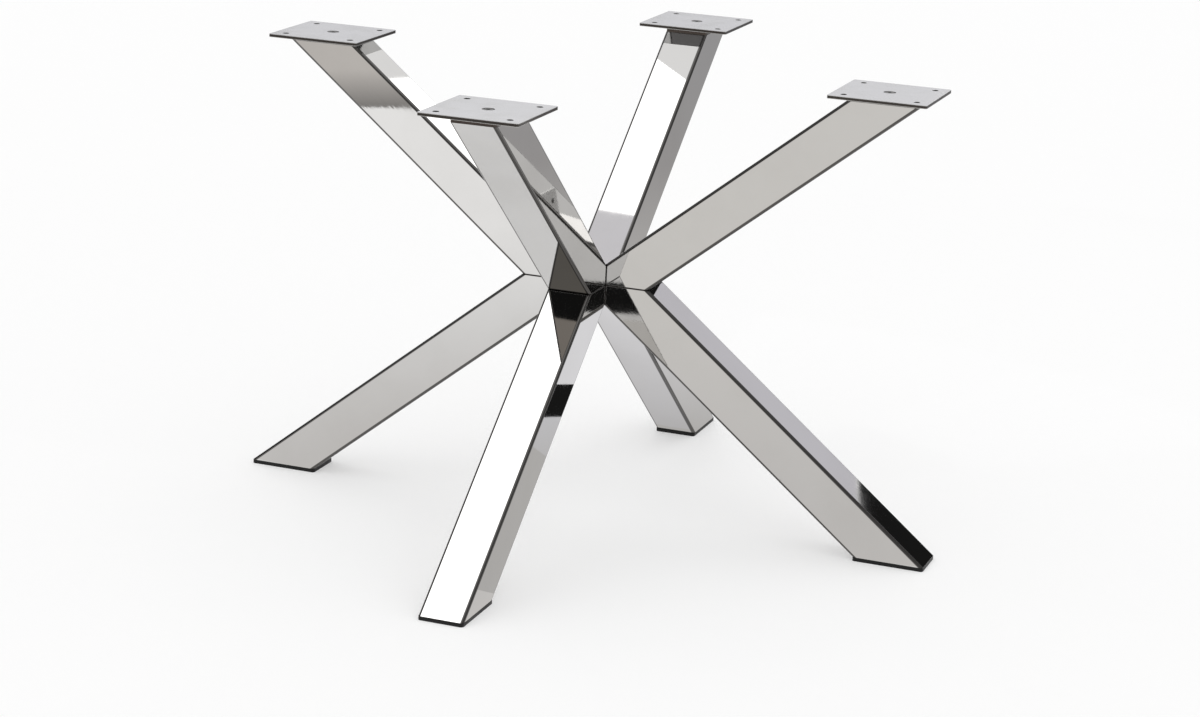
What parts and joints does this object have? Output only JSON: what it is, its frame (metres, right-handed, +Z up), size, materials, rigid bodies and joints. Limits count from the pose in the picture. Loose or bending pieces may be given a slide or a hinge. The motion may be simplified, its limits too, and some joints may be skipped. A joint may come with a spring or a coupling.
{
  "type": "table base",
  "caption": "Starburst table base of mirror-polished square tubes crossing in a mitred hub, with level mounting plates on top and black pads underfoot.",
  "frame": {"origin": "on the floor, under the middle of the hub", "axes": "+X to the right leg, +Y to the back leg, +Z up through the hub"},
  "size_m": [1.1314, 1.1314, 0.72],
  "materials": {
    "polished_tube": "mirror-polished steel",
    "cap_steel": "polished steel",
    "plate_steel": "satin steel",
    "screw_steel": "dark plated steel",
    "pad_plastic": "black moulded plastic"
  },
  "bodies": {
    "root": {"upper_leg_right": "polished_tube", "lower_leg_right": "polished_tube", "leg_cap_right": "cap_steel", "top_plate_right": "plate_steel", "plate_screw_right": "screw_steel", "foot_pad_right": "pad_plastic", "upper_leg_back": "polished_tube", "lower_leg_back": "polished_tube", "leg_cap_back": "cap_steel", "top_plate_back": "plate_steel", "plate_screw_back": "screw_steel", "foot_pad_back": "pad_plastic", "upper_leg_left": "polished_tube", "lower_leg_left": "polished_tube", "leg_cap_left": "cap_steel", "top_plate_left": "plate_steel", "plate_screw_left": "screw_steel", "foot_pad_left": "pad_plastic", "upper_leg_front": "polished_tube", "lower_leg_front": "polished_tube", "leg_cap_front": "cap_steel", "top_plate_front": "plate_steel", "plate_screw_front": "screw_steel", "foot_pad_front": "pad_plastic"}
  },
  "joints": []
}
